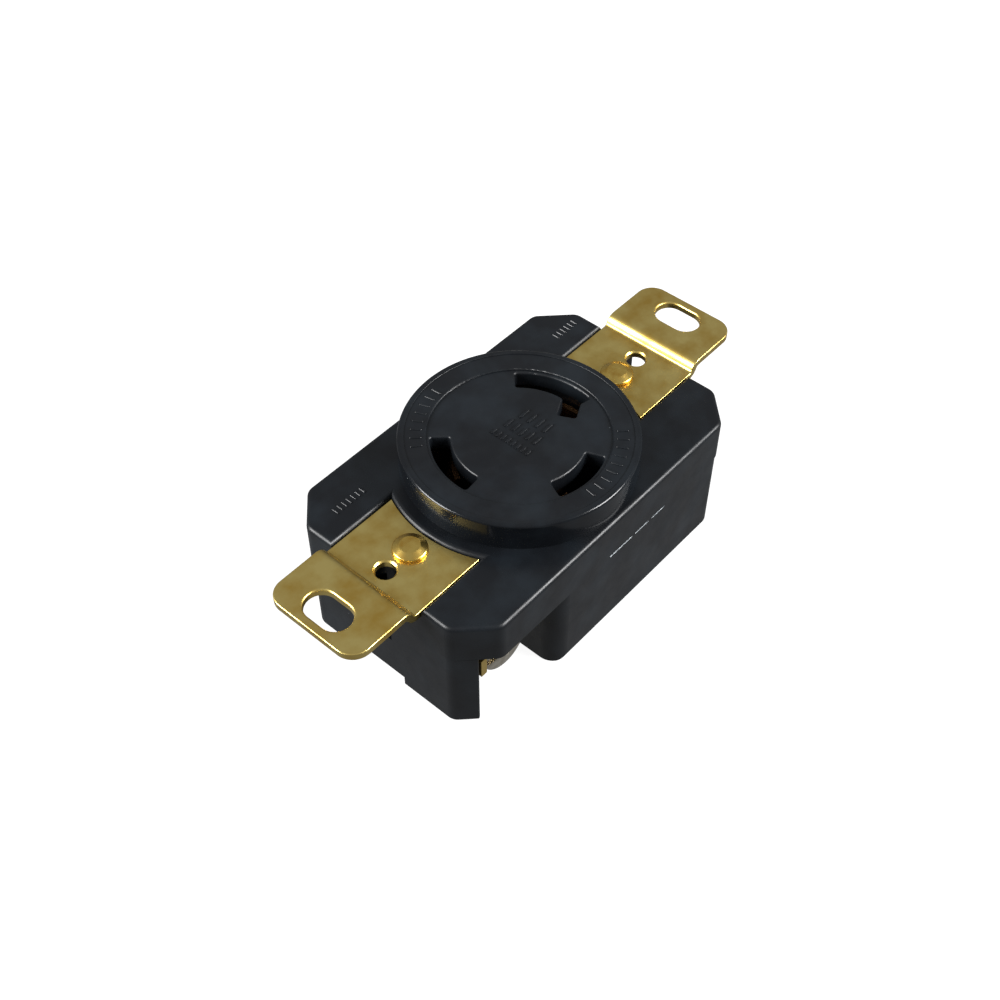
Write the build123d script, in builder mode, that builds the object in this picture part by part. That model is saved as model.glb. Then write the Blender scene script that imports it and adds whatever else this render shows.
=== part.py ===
from build123d import *
import math
import os
from collections import namedtuple

# Locking single receptacle, flush mounting, three arc slots, brass strap ears.
# Origin: on the axis of the round boss, in the plane of the ears' underside.
# +X runs along the strap towards the ground slot, +Z points out of the face.
# All sizes in millimetres, all angles in degrees from +X.

# ---- moulded body ----
BODY_LENGTH = 64.7
BODY_WIDTH = 40.0
BODY_CORNER = 5.45  # corner chamfer of the eight-sided outline
BODY_EDGE = 2.2  # rounding of the upright corner edges
DECK_Z = -0.1
DECK_EDGE = 0.8
DECK_UNDER_Z = -4.0
PARTING_Z = -8.0  # where the face housing meets the rear body
PARTING_EDGE = 0.25  # broken lower edge of the housing, seen as the parting line
BACK_Z = -24.3
BACK_EDGE = 0.7
SKIRT_WALL = 2.4
BLOCK_INSET = 0.15  # the rear body stands this far inside the skirt
SPIGOT_GAP = 0.2
SPIGOT_HEIGHT = 2.0

# ---- round boss and its slots ----
BOSS_RADIUS = 19.05  # 1.5 in face opening
BOSS_TOP_Z = 5.0  # top of the low rim round the face
BOSS_EDGE = 0.5
RIM_WIDTH = 1.1
FACE_Z = 4.85
FACE_EDGE = 0.1
BOSS_BORE_RADIUS = 16.6
FACE_UNDER_Z = 1.85
DISC_RADIUS = 14.5
DISC_DEPTH = 0.35
DISC_EDGE = 0.25
SLOT_INNER_RADIUS = 10.75
SLOT_OUTER_RADIUS = 13.95
SLOT_CORNER = 0.5
SLOT_LEAD_IN = 0.4
HOOK_CENTRE = (9.9, -1.95)  # inward hook at the clockwise end of the ground slot
HOOK_LENGTH = 4.2
HOOK_WIDTH = 3.0
HOOK_ANGLE = 26.6

# ---- brass mounting strap, two halves ----
STRAP_THICKNESS = 1.2
STRAP_HALF_WIDTH = 9.1
STRAP_TOP_Z = -0.55
STRAP_ARC_RADIUS = 21.6
RECESS_GAP = 0.15
JOGGLE_START_X = 33.0
JOGGLE_END_X = 35.5
EAR_END_X = 45.75
EAR_CORNER = 3.2
EAR_SLOT_X = 41.67  # 3-9/32 in between box screws
EAR_SLOT_WIDTH = 5.2
EAR_SLOT_LENGTH = 8.25
PLATE_SCREW_X = 30.16  # 2-3/8 in between cover-plate screws
PLATE_SCREW_RADIUS = 1.65
PLATE_SCREW_RIM = 0.25
STRAP_EDGE = 0.2  # rolled-over edge of the blanked outline
EAR_SLOT_EDGE = 0.4
NOTCH_HALF_WIDTH = 2.2
NOTCH_START_X = 28.0
NOTCH_BOTTOM_Z = -14.0

# ---- strap rivets, washers and the bond strip on the back ----
RIVET_X = 24.9
RIVET_RADIUS = 1.9
RIVET_HEAD_RADIUS = 2.9
RIVET_HEAD_HEIGHT = 1.3
RIVET_HEAD_SEAT = 2.6  # radius where the head meets the strap
RIVET_HEAD_RIM_Z = 0.5  # height of the head's widest part
RIVET_HEAD_FLAT = 1.6
RIVET_HEAD_DROP = 0.12  # how far the flat top falls towards its edge
RIVET_HEAD_EDGE = 0.35
RIVET_STRIP_HOLE = 2.0
RIVET_BODY_HOLE = 2.1
RIVET_BORE = 1.1
RIVET_BORE_DEPTH = 2.6
CLINCH_RADIUS = 3.0
CLINCH_HEIGHT = 0.7
POST_RADIUS = 4.0
STRIP_TOP_Z = -22.0
STRIP_THICKNESS = 1.0
STRIP_HALF_WIDTH = 4.0
STRIP_END_X = 28.0
WASHER_RADIUS = 3.3
WASHER_THICKNESS = 0.5
CHANNEL_GAP = 0.3
BRANCH_WIDTH = 7.0
BRANCH_TOP_Z = -17.2

# ---- contacts ----
CORE_RADIUS = 16.3
CORE_TOP_Z = 1.4
CONTACT_RADIUS = 12.35  # middle of the blade's path
GROOVE_HALF_WIDTH = 2.8
GROOVE_FLOOR_Z = -15.0
LEAF_GAP = 1.35  # blade's path to the straight part of a leaf
LEAF_THICKNESS = 0.8
PINCH_GAP = 0.85
PINCH_Z = -4.2
LEAF_BEND_Z = -8.0
LIP_GAP = 1.6
LIP_Z = -1.2
HOOK_POCKET_RADIUS = 7.4
HOOK_POCKET_START = -42
HOOK_POCKET_END = 0

# ---- terminals, one in each open corner of the rear body ----
CHAMBER_START_X = 14.0
CHAMBER_END_X = 28.9
CHAMBER_WALL_Y = 11.2
CHAMBER_CORNER = 3.0
LEG_EDGE = 0.3
FOOT_EDGE = 1.4  # rounding of the leg's lower edge
EJECTOR_X = 9.0
EJECTOR_Y = 8.2
EJECTOR_RADIUS = 2.2
EJECTOR_DEPTH = 0.2
PLATE_THICKNESS = 1.2
PLATE_GAP = 0.1
PLATE_TOP_Z = -9.0
PLATE_BOTTOM_Z = -21.0
WING_END_Y = 17.6
WING_BOTTOM_Z = -12.8
BEND_RADIUS = 0.5
TAIL_START_X = 9.3
TAIL_END_X = 16.9
TAIL_TOP_Z = -9.8
TAIL_BOTTOM_Z = -14.2
SMALL_RIVET_X = 15.3
SMALL_RIVET_Z = -12.0
SMALL_RIVET_RADIUS = 0.8
SMALL_RIVET_HEAD = 1.2
SMALL_RIVET_HEAD_HEIGHT = 0.5
SMALL_RIVET_GAP = 0.05
BOND_RIVET_Z = -19.4
SCREW_X = 21.7
SCREW_Z = -13.6
SCREW_RADIUS = 2.41  # No. 10-32
SCREW_ROOT_RADIUS = 2.05
SCREW_PITCH = 0.794
SCREW_THREADS = 8
SCREW_TIP_Y = 5.7
SCREW_POINT = 0.8
SCREW_HEAD_RADIUS = 4.6
SCREW_HEAD_HEIGHT = 2.9
SCREW_CROWN = 0.5
DRIVER_SLOT_WIDTH = 1.2
DRIVER_SLOT_DEPTH = 1.3
TAPPED_RADIUS = 2.46
SCREW_RELIEF_RADIUS = 2.8
SCREW_RELIEF_Y = 5.2
MOVING_GAP = 0.05  # between surfaces that part when a terminal opens
CLAMP_WIDTH = 9.8
CLAMP_HEIGHT = 9.0
CLAMP_THICKNESS = 1.2
CLAMP_HOLE_RADIUS = 2.55
CLAMP_CORNER = 1.0
WIRE_GROOVE_X = 3.7
WIRE_GROOVE_RADIUS = 1.5
WIRE_GROOVE_DEPTH = 0.4

OVERCUT = 1.0  # how far a cut runs past the surface it opens
NEAR = 0.05  # tolerance when an edge is picked by its place

Pole = namedtuple("Pole", "name side_x side_y slot groove outer_leaf inner_leaf")
POLES = [
    Pole("neutral", -1, -1, (246.5, 292.0), (222, 296), (226, 268), (226, 268)),
    Pole("line", -1, 1, (133.0, 185.5), (108, 190), (112, 154), (112, 154)),
    Pole("ground", 1, 1, (-13.0, 44.0), (-40, 56), (-30, 52), (8, 52)),
]
SIDES = {"lower": -1, "upper": 1}  # the strap's two halves, and the sign of their X

STRAP_UNDER_Z = STRAP_TOP_Z - STRAP_THICKNESS
STRIP_UNDER_Z = STRIP_TOP_Z - STRIP_THICKNESS
PLATE_OUTER_Y = CHAMBER_WALL_Y + PLATE_THICKNESS
TAIL_INNER_Y = CHAMBER_WALL_Y - LEAF_THICKNESS
CLAMP_INNER_Y = PLATE_OUTER_Y + MOVING_GAP
CLAMP_OUTER_Y = CLAMP_INNER_Y + CLAMP_THICKNESS
HEAD_SEAT_Y = CLAMP_OUTER_Y + MOVING_GAP


def write_node(part, name):
    """Labels a finished piece and writes it to its own STEP file."""
    part.label = name
    export_step(part, f"parts/{name}.step")


def body_outline(inset):
    """The body's eight-sided outline, moved in by inset, as a sketch."""
    with BuildSketch(mode=Mode.PRIVATE) as outline:
        Rectangle(BODY_LENGTH, BODY_WIDTH)
        chamfer(outline.vertices(), BODY_CORNER)
        if inset:
            offset(amount=-inset, kind=Kind.INTERSECTION)
    return outline.sketch


def arc_band(inner_radius, outer_radius, angles):
    """A band between two radii about the boss axis, between two angles, as a sketch."""
    start, end = angles
    with BuildSketch(mode=Mode.PRIVATE) as band:
        with BuildLine():
            inner = CenterArc((0, 0), inner_radius, start, end - start)
            outer = CenterArc((0, 0), outer_radius, start, end - start)
            Line(inner @ 0, outer @ 0)
            Line(inner @ 1, outer @ 1)
        make_face()
    return band.sketch


def terminal_axis(pole, x, z):
    """A line through a terminal, along Y and pointing out of the body."""
    return Plane(origin=(pole.side_x * x, 0, z), x_dir=(1, 0, 0), z_dir=(0, pole.side_y, 0))


def upright_edges(part, x, y):
    """Vertical edges of a part whose distances from the two middle planes are x and y."""
    return part.edges().filter_by(Axis.Z).filter_by(
        lambda e: abs(abs(e.center().X) - x) < NEAR and abs(abs(e.center().Y) - y) < NEAR
    )


def make_face_housing():
    """Deck, skirt and round boss: the moulded cover that the strap lies on."""
    with BuildPart() as face_housing:
        with BuildSketch(Plane.XY.offset(PARTING_Z)):
            add(body_outline(0))
        extrude(amount=DECK_Z - PARTING_Z)
        fillet(face_housing.edges().filter_by(Axis.Z), BODY_EDGE)
        with BuildSketch(Plane.XY.offset(PARTING_Z)):
            add(body_outline(SKIRT_WALL))
        extrude(amount=DECK_UNDER_Z - PARTING_Z, mode=Mode.SUBTRACT)
        chamfer(face_housing.faces().sort_by(Axis.Z)[0].outer_wire().edges(), PARTING_EDGE)

        # strap recesses, open at the body's ends, with an arc round the boss
        with BuildSketch(Plane.XY.offset(STRAP_UNDER_Z)):
            Rectangle(BODY_LENGTH + 2 * OVERCUT, 2 * (STRAP_HALF_WIDTH + RECESS_GAP))
            Circle(STRAP_ARC_RADIUS - RECESS_GAP, mode=Mode.SUBTRACT)
        extrude(amount=DECK_Z - STRAP_UNDER_Z + OVERCUT, mode=Mode.SUBTRACT)
        deck_faces = face_housing.faces().filter_by(Plane.XY).filter_by(
            lambda f: abs(f.center().Z - DECK_Z) < NEAR
        )
        fillet([e for face in deck_faces for e in face.edges()], DECK_EDGE)

        with BuildSketch(Plane.XY.offset(DECK_UNDER_Z)):
            Circle(BOSS_RADIUS)
        extrude(amount=BOSS_TOP_Z - DECK_UNDER_Z)
        fillet(face_housing.faces().sort_by(Axis.Z)[-1].edges(), BOSS_EDGE)
        with BuildSketch(Plane.XY.offset(FACE_Z)):
            Circle(BOSS_RADIUS - RIM_WIDTH)
        extrude(amount=OVERCUT, mode=Mode.SUBTRACT)
        rim_edges = face_housing.faces().sort_by(Axis.Z)[-1].inner_wires()[0].edges()
        fillet(rim_edges, FACE_EDGE)
        with BuildSketch(Plane.XY.offset(FACE_Z - DISC_DEPTH)):
            Circle(DISC_RADIUS)
        extrude(amount=OVERCUT, mode=Mode.SUBTRACT)
        disc_edges = face_housing.edges().filter_by(GeomType.CIRCLE).filter_by(
            lambda e: abs(e.radius - DISC_RADIUS) < NEAR and abs(e.center().Z - FACE_Z) < NEAR
        )
        fillet(disc_edges, DISC_EDGE)
        with BuildSketch(Plane.XY.offset(PARTING_Z)):
            Circle(BOSS_BORE_RADIUS)
        extrude(amount=FACE_UNDER_Z - PARTING_Z, mode=Mode.SUBTRACT)

        # blade slots, each with a small lead-in at its mouth
        disc_z = FACE_Z - DISC_DEPTH
        with BuildSketch(Plane.XY.offset(disc_z)) as slots:
            for pole in POLES:
                add(arc_band(SLOT_INNER_RADIUS, SLOT_OUTER_RADIUS, pole.slot))
            with Locations(Location(HOOK_CENTRE, HOOK_ANGLE)):
                Rectangle(HOOK_LENGTH, HOOK_WIDTH)
            fillet(slots.vertices(), SLOT_CORNER)
        extrude(amount=FACE_UNDER_Z - disc_z - OVERCUT, mode=Mode.SUBTRACT)
        mouths = face_housing.faces().filter_by(
            lambda f: abs(f.center().Z - disc_z) < NEAR and f.normal_at().Z > 1 - NEAR
        ).sort_by(SortBy.AREA)[-1]
        fillet([e for wire in mouths.inner_wires() for e in wire.edges()], SLOT_LEAD_IN)

        # rivet holes, and notches that clear the cover-plate screws
        with BuildSketch(Plane.XY.offset(PARTING_Z)):
            with Locations((-RIVET_X, 0), (RIVET_X, 0)):
                Circle(RIVET_BODY_HOLE)
            add(plate_screw_notches())
        extrude(amount=DECK_Z - PARTING_Z + OVERCUT, mode=Mode.SUBTRACT)
    write_node(face_housing.part, "face_housing")


def plate_screw_notches():
    """Round-ended notches in both end walls, as a sketch."""
    with BuildSketch(mode=Mode.PRIVATE) as notches:
        for side in SIDES.values():
            end_x = BODY_LENGTH / 2 + OVERCUT
            start_x = NOTCH_START_X + NOTCH_HALF_WIDTH
            with Locations((side * start_x, 0)):
                Circle(NOTCH_HALF_WIDTH)
            with Locations((side * (start_x + end_x) / 2, 0)):
                Rectangle(end_x - start_x, 2 * NOTCH_HALF_WIDTH)
    return notches.sketch


def make_rear_body():
    """The moulded block that holds the contacts, with three open terminal corners."""
    chamber_x = (CHAMBER_START_X + CHAMBER_END_X) / 2
    chamber_depth = BODY_WIDTH / 2 + OVERCUT - CHAMBER_WALL_Y
    chamber_y = CHAMBER_WALL_Y + chamber_depth / 2
    side_y = BODY_WIDTH / 2 - BLOCK_INSET
    with BuildPart() as rear_body:
        with BuildSketch(Plane.XY.offset(BACK_Z)):
            add(body_outline(BLOCK_INSET))
        extrude(amount=PARTING_Z - BACK_Z)
        fillet(rear_body.edges().filter_by(Axis.Z), BODY_EDGE)
        fillet(rear_body.faces().sort_by(Axis.Z)[0].edges(), BACK_EDGE)
        with BuildSketch(Plane.XY.offset(BACK_Z)) as block:
            add(body_outline(BLOCK_INSET))
            fillet(block.vertices(), BODY_EDGE)
            for pole in POLES:
                with Locations((pole.side_x * chamber_x, pole.side_y * chamber_y)):
                    Rectangle(CHAMBER_END_X - CHAMBER_START_X, chamber_depth, mode=Mode.SUBTRACT)
            block_corners = block.vertices().filter_by(
                lambda v: abs(abs(v.X) - CHAMBER_START_X) < NEAR and abs(abs(v.Y) - side_y) < NEAR
            )
            fillet(block_corners, CHAMBER_CORNER)
            leg_corners = block.vertices().filter_by(
                lambda v: abs(abs(v.X) - CHAMBER_END_X) < NEAR and abs(v.Y) > CHAMBER_WALL_Y + NEAR
            )
            fillet(leg_corners, LEG_EDGE)
        extrude(amount=PARTING_Z - BACK_Z, mode=Mode.INTERSECT)
        for pole in POLES:
            with BuildSketch(leg_foot(pole)):
                add(foot_corner())
            extrude(amount=pole.side_x * pole.side_y * chamber_depth, mode=Mode.SUBTRACT)

        # spigot inside the skirt, contact core inside the boss, posts under the strap
        with BuildSketch(Plane.XY.offset(PARTING_Z)):
            add(body_outline(SKIRT_WALL + SPIGOT_GAP))
        extrude(amount=SPIGOT_HEIGHT)
        with BuildSketch(Plane.XY.offset(PARTING_Z)):
            Circle(CORE_RADIUS)
        extrude(amount=CORE_TOP_Z - PARTING_Z)
        with BuildSketch(Plane.XY.offset(PARTING_Z)):
            with Locations((-RIVET_X, 0), (RIVET_X, 0)):
                Circle(POST_RADIUS)
        extrude(amount=DECK_UNDER_Z - PARTING_Z)

        # contact grooves, open at the top, with the way out for each contact's tail
        with BuildSketch(Plane.XY.offset(GROOVE_FLOOR_Z)):
            for pole in POLES:
                inner_radius = CONTACT_RADIUS - GROOVE_HALF_WIDTH
                add(arc_band(inner_radius, CONTACT_RADIUS + GROOVE_HALF_WIDTH, pole.groove))
                tail_start = TAIL_START_X - CHANNEL_GAP
                tail_end = TAIL_END_X + CHANNEL_GAP
                tail_middle = (tail_start + tail_end) / 2
                tail_depth = LEAF_THICKNESS + PLATE_GAP
                tail_y = CHAMBER_WALL_Y - tail_depth / 2
                with Locations((pole.side_x * tail_middle, pole.side_y * tail_y)):
                    Rectangle(tail_end - tail_start, tail_depth)
            add(arc_band(HOOK_POCKET_RADIUS, CONTACT_RADIUS, (HOOK_POCKET_START, HOOK_POCKET_END)))
        extrude(amount=CORE_TOP_Z - GROOVE_FLOOR_Z + OVERCUT, mode=Mode.SUBTRACT)

        # rivet holes, and the notches that clear the cover-plate screws
        with BuildSketch(Plane.XY.offset(BACK_Z)):
            with Locations((-RIVET_X, 0), (RIVET_X, 0)):
                Circle(RIVET_BODY_HOLE)
        extrude(amount=DECK_UNDER_Z - BACK_Z, mode=Mode.SUBTRACT)
        with BuildSketch(Plane.XY.offset(NOTCH_BOTTOM_Z)):
            add(plate_screw_notches())
        extrude(amount=DECK_UNDER_Z - NOTCH_BOTTOM_Z, mode=Mode.SUBTRACT)

        # channel for the bond strip, and the pocket for its branch to the ground terminal
        branch_depth = CHAMBER_WALL_Y + OVERCUT
        with BuildSketch(Plane.XY.offset(STRIP_TOP_Z)):
            Rectangle(BODY_LENGTH + OVERCUT, 2 * (STRIP_HALF_WIDTH + CHANNEL_GAP))
            with Locations((SCREW_X, branch_depth / 2)):
                Rectangle(BRANCH_WIDTH + 2 * CHANNEL_GAP, branch_depth)
        extrude(amount=BACK_Z - STRIP_TOP_Z, mode=Mode.SUBTRACT)
        pocket_depth = STRIP_THICKNESS + PLATE_GAP + OVERCUT
        with BuildSketch(Plane.XY.offset(STRIP_TOP_Z)):
            with Locations((SCREW_X, CHAMBER_WALL_Y + OVERCUT - pocket_depth / 2)):
                Rectangle(BRANCH_WIDTH + 2 * CHANNEL_GAP, pocket_depth)
        extrude(amount=BRANCH_TOP_Z + CHANNEL_GAP - STRIP_TOP_Z, mode=Mode.SUBTRACT)

        # marks of the four ejector pins
        with BuildSketch(Plane.XY.offset(BACK_Z)):
            with GridLocations(2 * EJECTOR_X, 2 * EJECTOR_Y, 2, 2):
                Circle(EJECTOR_RADIUS)
        extrude(amount=EJECTOR_DEPTH, mode=Mode.SUBTRACT)

        # clearance behind each terminal for the screw's point and the small rivets' heads
        for pole in POLES:
            with BuildSketch(terminal_axis(pole, SCREW_X, SCREW_Z).offset(SCREW_RELIEF_Y)):
                Circle(SCREW_RELIEF_RADIUS)
            extrude(amount=CHAMBER_WALL_Y - SCREW_RELIEF_Y, mode=Mode.SUBTRACT)
            cut_rivet_pocket(terminal_axis(pole, SMALL_RIVET_X, SMALL_RIVET_Z), TAIL_INNER_Y)
            if pole.name == "ground":
                bond_axis = terminal_axis(pole, SCREW_X, BOND_RIVET_Z)
                cut_rivet_pocket(bond_axis, CHAMBER_WALL_Y - STRIP_THICKNESS)
    write_node(rear_body.part, "rear_body")


def leg_foot(pole):
    """A plane across a leg's lower edge: X from the leg into the chamber, Y up."""
    return Plane(
        origin=(pole.side_x * CHAMBER_END_X, pole.side_y * CHAMBER_WALL_Y, BACK_Z),
        x_dir=(-pole.side_x, 0, 0),
        z_dir=(0, pole.side_x, 0),
    )


def foot_corner():
    """What is cut off a leg's lower edge to round it, as a sketch across that edge."""
    with BuildSketch(mode=Mode.PRIVATE) as corner:
        with BuildLine():
            arc = CenterArc((-FOOT_EDGE, FOOT_EDGE), FOOT_EDGE, 270, 90)
            Polyline(
                arc @ 1,
                (OVERCUT, FOOT_EDGE),
                (OVERCUT, -OVERCUT),
                (-FOOT_EDGE, -OVERCUT),
                arc @ 0,
            )
        make_face()
    return corner.sketch


def cut_rivet_pocket(axis_plane, inner_face):
    """Cuts room for a small rivet's inner head, below the given face, in the part being made."""
    depth = SMALL_RIVET_HEAD_HEIGHT + PLATE_GAP
    with Locations(axis_plane.offset(inner_face)):
        CounterBoreHole(
            radius=SMALL_RIVET_RADIUS,
            counter_bore_radius=SMALL_RIVET_HEAD + PLATE_GAP,
            counter_bore_depth=depth,
            depth=depth,
        )


def make_strap(name, side):
    """Half of the mounting strap: a flat plate, a joggle and a raised, slotted ear."""
    rise = -STRAP_UNDER_Z
    run = JOGGLE_END_X - JOGGLE_START_X
    bend_angle = 2 * math.degrees(math.atan2(rise, run))
    middle_radius = (rise**2 + run**2) / (4 * rise)
    tight_radius = middle_radius - STRAP_THICKNESS / 2
    wide_radius = middle_radius + STRAP_THICKNESS / 2
    with BuildPart() as strap:
        with BuildSketch(Plane.XZ):
            with BuildLine() as profile:
                under_plate = Line((0, STRAP_UNDER_Z), (JOGGLE_START_X, STRAP_UNDER_Z))
                under_first = JernArc(under_plate @ 1, (1, 0), wide_radius, bend_angle)
                under_second = JernArc(under_first @ 1, under_first % 1, tight_radius, -bend_angle)
                under_ear = Line(under_second @ 1, (EAR_END_X, 0))
                top_plate = Line((0, STRAP_TOP_Z), (JOGGLE_START_X, STRAP_TOP_Z))
                top_first = JernArc(top_plate @ 1, (1, 0), tight_radius, bend_angle)
                top_second = JernArc(top_first @ 1, top_first % 1, wide_radius, -bend_angle)
                top_ear = Line(top_second @ 1, (EAR_END_X, STRAP_THICKNESS))
                Line(under_ear @ 1, top_ear @ 1)
                Line(under_plate @ 0, top_plate @ 0)
            make_face()
        extrude(amount=STRAP_HALF_WIDTH, both=True)
        if side < 0:
            mirror(about=Plane.YZ, mode=Mode.REPLACE)

        with BuildSketch(Plane.XY.offset(STRAP_UNDER_Z)) as outline:
            with Locations((side * EAR_END_X / 2, 0)):
                Rectangle(EAR_END_X, 2 * STRAP_HALF_WIDTH)
            fillet(outline.vertices().filter_by(lambda v: abs(v.X) > JOGGLE_END_X), EAR_CORNER)
            Circle(STRAP_ARC_RADIUS, mode=Mode.SUBTRACT)
            with Locations((side * RIVET_X, 0)):
                Circle(RIVET_STRIP_HOLE, mode=Mode.SUBTRACT)
            with Locations((side * PLATE_SCREW_X, 0)):
                Circle(PLATE_SCREW_RADIUS, mode=Mode.SUBTRACT)
            with Locations((side * EAR_SLOT_X, 0)):
                SlotOverall(EAR_SLOT_LENGTH, EAR_SLOT_WIDTH, rotation=90, mode=Mode.SUBTRACT)
        extrude(amount=STRAP_THICKNESS - STRAP_UNDER_Z, mode=Mode.INTERSECT)
        rim = strap.edges().filter_by(GeomType.CIRCLE).filter_by(
            lambda e: abs(e.radius - PLATE_SCREW_RADIUS) < NEAR
        ).sort_by(Axis.Z)[-1]
        chamfer(rim, PLATE_SCREW_RIM)
        ear_top = strap.faces().filter_by(Plane.XY).sort_by(Axis.Z)[-1]
        fillet(ear_top.inner_wires()[0].edges(), EAR_SLOT_EDGE)
        plate_top = strap.faces().filter_by(Plane.XY).filter_by(
            lambda f: abs(f.center().Z - STRAP_TOP_Z) < NEAR
        ).sort_by(SortBy.AREA)[-1]
        long_edges = plate_top.outer_wire().edges().filter_by(Axis.X)
        fillet(long_edges, STRAP_EDGE)
    write_node(strap.part, name)


def make_strap_rivet(name, side):
    """Long semi-tubular rivet: flattened head on the strap, rolled end on the back washer."""
    clinch_z = STRIP_UNDER_Z - WASHER_THICKNESS
    end_z = clinch_z - CLINCH_HEIGHT
    head_top = (0, STRAP_TOP_Z + RIVET_HEAD_HEIGHT)
    flat_edge = (RIVET_HEAD_FLAT, STRAP_TOP_Z + RIVET_HEAD_HEIGHT - RIVET_HEAD_DROP)
    rim = (RIVET_HEAD_RADIUS, STRAP_TOP_Z + RIVET_HEAD_RIM_Z)
    seat = (RIVET_HEAD_SEAT, STRAP_TOP_Z)
    with BuildPart() as rivet:
        with BuildSketch(Plane(origin=(side * RIVET_X, 0, 0), x_dir=(1, 0, 0), z_dir=(0, -1, 0))) as head:
            with BuildLine():
                Polyline(head_top, flat_edge, rim, seat, (RIVET_RADIUS, STRAP_TOP_Z))
                Polyline((RIVET_RADIUS, STRAP_TOP_Z), (RIVET_RADIUS, clinch_z), (CLINCH_RADIUS, clinch_z))
                roll = TangentArc((RIVET_BORE, end_z), (CLINCH_RADIUS, clinch_z), tangent=(1, 0))
                bore_top = STRIP_UNDER_Z + RIVET_BORE_DEPTH
                Polyline(roll @ 0, (RIVET_BORE, bore_top), (0, bore_top), head_top)
            make_face()
            head_corners = head.vertices().filter_by(
                lambda v: abs(v.X) > RIVET_HEAD_FLAT - NEAR and v.Y > STRAP_TOP_Z + NEAR
            )
            fillet(head_corners, RIVET_HEAD_EDGE)
        revolve(axis=Axis((side * RIVET_X, 0, 0), (0, 0, 1)))
    write_node(rivet.part, name)


def make_rivet_washer(name, side):
    """Flat washer under a strap rivet's rolled end."""
    with BuildPart() as washer:
        with BuildSketch(Plane.XY.offset(STRIP_UNDER_Z)):
            with Locations((side * RIVET_X, 0)):
                Circle(WASHER_RADIUS)
                Circle(RIVET_STRIP_HOLE, mode=Mode.SUBTRACT)
        extrude(amount=-WASHER_THICKNESS)
    write_node(washer.part, name)


def make_ground_bond_strip():
    """Strip on the back that joins both strap rivets to the ground terminal."""
    upright_y = CHAMBER_WALL_Y - STRIP_THICKNESS
    with BuildPart() as strip:
        with BuildSketch(Plane.XY.offset(STRIP_TOP_Z)):
            Rectangle(2 * STRIP_END_X, 2 * STRIP_HALF_WIDTH)
            with Locations((SCREW_X, CHAMBER_WALL_Y / 2)):
                Rectangle(BRANCH_WIDTH, CHAMBER_WALL_Y)
            with Locations((-RIVET_X, 0), (RIVET_X, 0)):
                Circle(RIVET_STRIP_HOLE, mode=Mode.SUBTRACT)
        extrude(amount=-STRIP_THICKNESS)
        with BuildSketch(Plane.XY.offset(STRIP_UNDER_Z)):
            with Locations((SCREW_X, upright_y + STRIP_THICKNESS / 2)):
                Rectangle(BRANCH_WIDTH, STRIP_THICKNESS)
        extrude(amount=BRANCH_TOP_Z - STRIP_UNDER_Z)
        along = strip.edges().filter_by(Axis.X)
        outer_bend = along.filter_by(
            lambda e: abs(e.center().Y - CHAMBER_WALL_Y) < NEAR and abs(e.center().Z - STRIP_UNDER_Z) < NEAR
        )
        fillet(outer_bend, STRIP_THICKNESS)
        ground = POLES[-1]
        with Locations(terminal_axis(ground, SCREW_X, BOND_RIVET_Z).offset(CHAMBER_WALL_Y)):
            Hole(SMALL_RIVET_RADIUS + SMALL_RIVET_GAP, depth=STRIP_THICKNESS)
    write_node(strip.part, "ground_bond_strip")


def leaf_profile(direction):
    """One leaf of a contact and its half of the web, cut through the boss axis."""
    middle = CONTACT_RADIUS
    gap_side = [(LIP_GAP, LIP_Z), (PINCH_GAP, PINCH_Z), (LEAF_GAP, LEAF_BEND_Z)]
    gap_side.append((LEAF_GAP, GROOVE_FLOOR_Z + LEAF_THICKNESS))
    back_side = [(LEAF_GAP, GROOVE_FLOOR_Z), (LEAF_GAP, LEAF_BEND_Z), (PINCH_GAP, PINCH_Z), (LIP_GAP, LIP_Z)]
    points = [(0, GROOVE_FLOOR_Z + LEAF_THICKNESS)] + gap_side[::-1]
    points += [(gap + LEAF_THICKNESS, z) for gap, z in back_side[::-1]]
    points.append((0, GROOVE_FLOOR_Z))
    return [(middle + direction * offset_x, z) for offset_x, z in points]


def make_contact_clip(pole):
    """Sprung double-leaf contact, bent along the blade's arc, with a riveting tail."""
    with BuildPart() as clip:
        for direction, (start, end) in ((1, pole.outer_leaf), (-1, pole.inner_leaf)):
            with BuildSketch(Plane.XZ.rotated((0, 0, start))):
                with BuildLine():
                    Polyline(leaf_profile(direction), close=True)
                make_face()
            revolve(axis=Axis.Z, revolution_arc=end - start)
        tail_x = pole.side_x * (TAIL_START_X + TAIL_END_X) / 2
        tail_y = pole.side_y * (TAIL_INNER_Y + CHAMBER_WALL_Y) / 2
        with BuildSketch(Plane.XY.offset(TAIL_BOTTOM_Z)):
            with Locations((tail_x, tail_y)):
                Rectangle(TAIL_END_X - TAIL_START_X, LEAF_THICKNESS)
        extrude(amount=TAIL_TOP_Z - TAIL_BOTTOM_Z)
        with Locations(terminal_axis(pole, SMALL_RIVET_X, SMALL_RIVET_Z).offset(CHAMBER_WALL_Y)):
            Hole(SMALL_RIVET_RADIUS + SMALL_RIVET_GAP, depth=LEAF_THICKNESS)
    write_node(clip.part, f"{pole.name}_contact_clip")


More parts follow.
